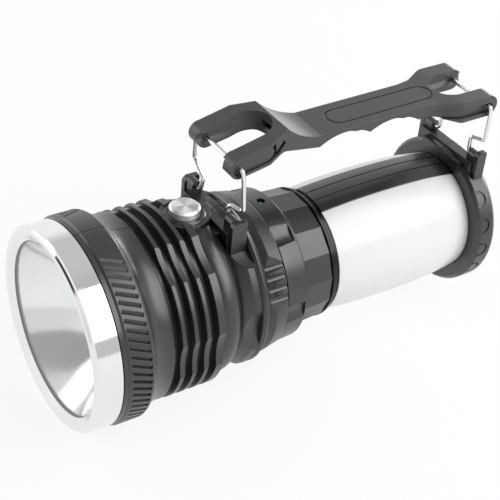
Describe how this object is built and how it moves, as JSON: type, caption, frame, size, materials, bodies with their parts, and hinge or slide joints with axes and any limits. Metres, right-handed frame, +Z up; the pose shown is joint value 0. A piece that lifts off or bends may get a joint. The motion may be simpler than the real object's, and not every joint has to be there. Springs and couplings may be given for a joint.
{
  "type": "hand-held led searchlight",
  "caption": "Portable searchlight with a wide finned head, a side lantern on its barrel, a push button and a forked carry handle hung on wire bails.",
  "frame": {"origin": "centre of the outline seen from above, at the height of the lowest point of the head", "axes": "+X along the optical axis from the lens to the tail, +Z up towards the carry handle, +Y to the light's own far side"},
  "size_m": [0.2575, 0.11, 0.1472],
  "materials": {
    "chrome_bezel": "polished",
    "clear_lens": "gloss",
    "gasket_rubber": "matte",
    "reflector_coat": "polished",
    "led_dome": "satin",
    "board_white": "satin",
    "board_green": "satin",
    "sink_aluminium": "satin",
    "black_body": "satin",
    "black_handle": "satin",
    "black_gloss": "gloss",
    "button_metal": "brushed",
    "steel_wire": "satin",
    "screw_steel": "satin",
    "green_led": "gloss",
    "white_diffuser": "satin",
    "black_spine": "satin",
    "cell_wrap": "gloss",
    "frame_plastic": "matte"
  },
  "bodies": {
    "root": {"bezel_ring": "chrome_bezel", "front_lens": "clear_lens", "lens_gasket": "gasket_rubber", "reflector": "reflector_coat", "led_emitter": "led_dome", "led_board": "board_white", "heat_sink": "sink_aluminium", "housing_left": "black_body", "housing_right": "black_body", "housing_screws": "screw_steel", "button_ring": "black_gloss", "button_switch": "frame_plastic", "switch_board": "board_green", "indicator_ring": "black_body", "indicator_led": "green_led", "body_sleeve": "black_body", "flange_ring": "black_body", "lantern_diffuser": "white_diffuser", "lantern_spine": "black_spine", "lantern_core": "frame_plastic", "side_led_boards": "board_white", "side_leds": "led_dome", "tail_cap_left": "black_body", "tail_cap_right": "black_body", "end_plate": "black_body", "tail_screws": "screw_steel", "charge_inlet": "black_gloss", "battery_cells": "cell_wrap", "battery_holder": "frame_plastic", "control_board": "board_green"},
    "button": {"button_cap": "button_metal"},
    "front_bail_wire": {"front_bail": "steel_wire"},
    "rear_bail_wire": {"rear_bail": "steel_wire"},
    "handle": {"carry_handle": "black_handle"}
  },
  "joints": [
    {"name": "button_press", "type": "slide", "parent": "root", "child": "button", "axis": [0, 0, -1], "range_m": [0, 0.0012], "stiffness_N_per_m": 500},
    {"name": "front_bail_swing", "type": "hinge", "parent": "root", "child": "front_bail_wire", "pos_m": [-0.03735, 0, 0.104], "axis": [0, 1, 0], "range_deg": [-60, 60]},
    {"name": "handle_tilt", "type": "hinge", "parent": "front_bail_wire", "child": "handle", "pos_m": [-0.03595, 0, 0.1352], "axis": [0, 1, 0], "range_deg": [-60, 60]},
    {"name": "rear_bail_swing", "type": "hinge", "parent": "root", "child": "rear_bail_wire", "pos_m": [0.11985, 0, 0.1001], "axis": [0, 1, 0], "range_deg": [-60, 60]}
  ],
  "couplings": [
    {"joint": "handle_tilt", "follows": "front_bail_swing", "ratio": -1},
    {"joint": "rear_bail_swing", "follows": "front_bail_swing", "ratio": 1}
  ]
}
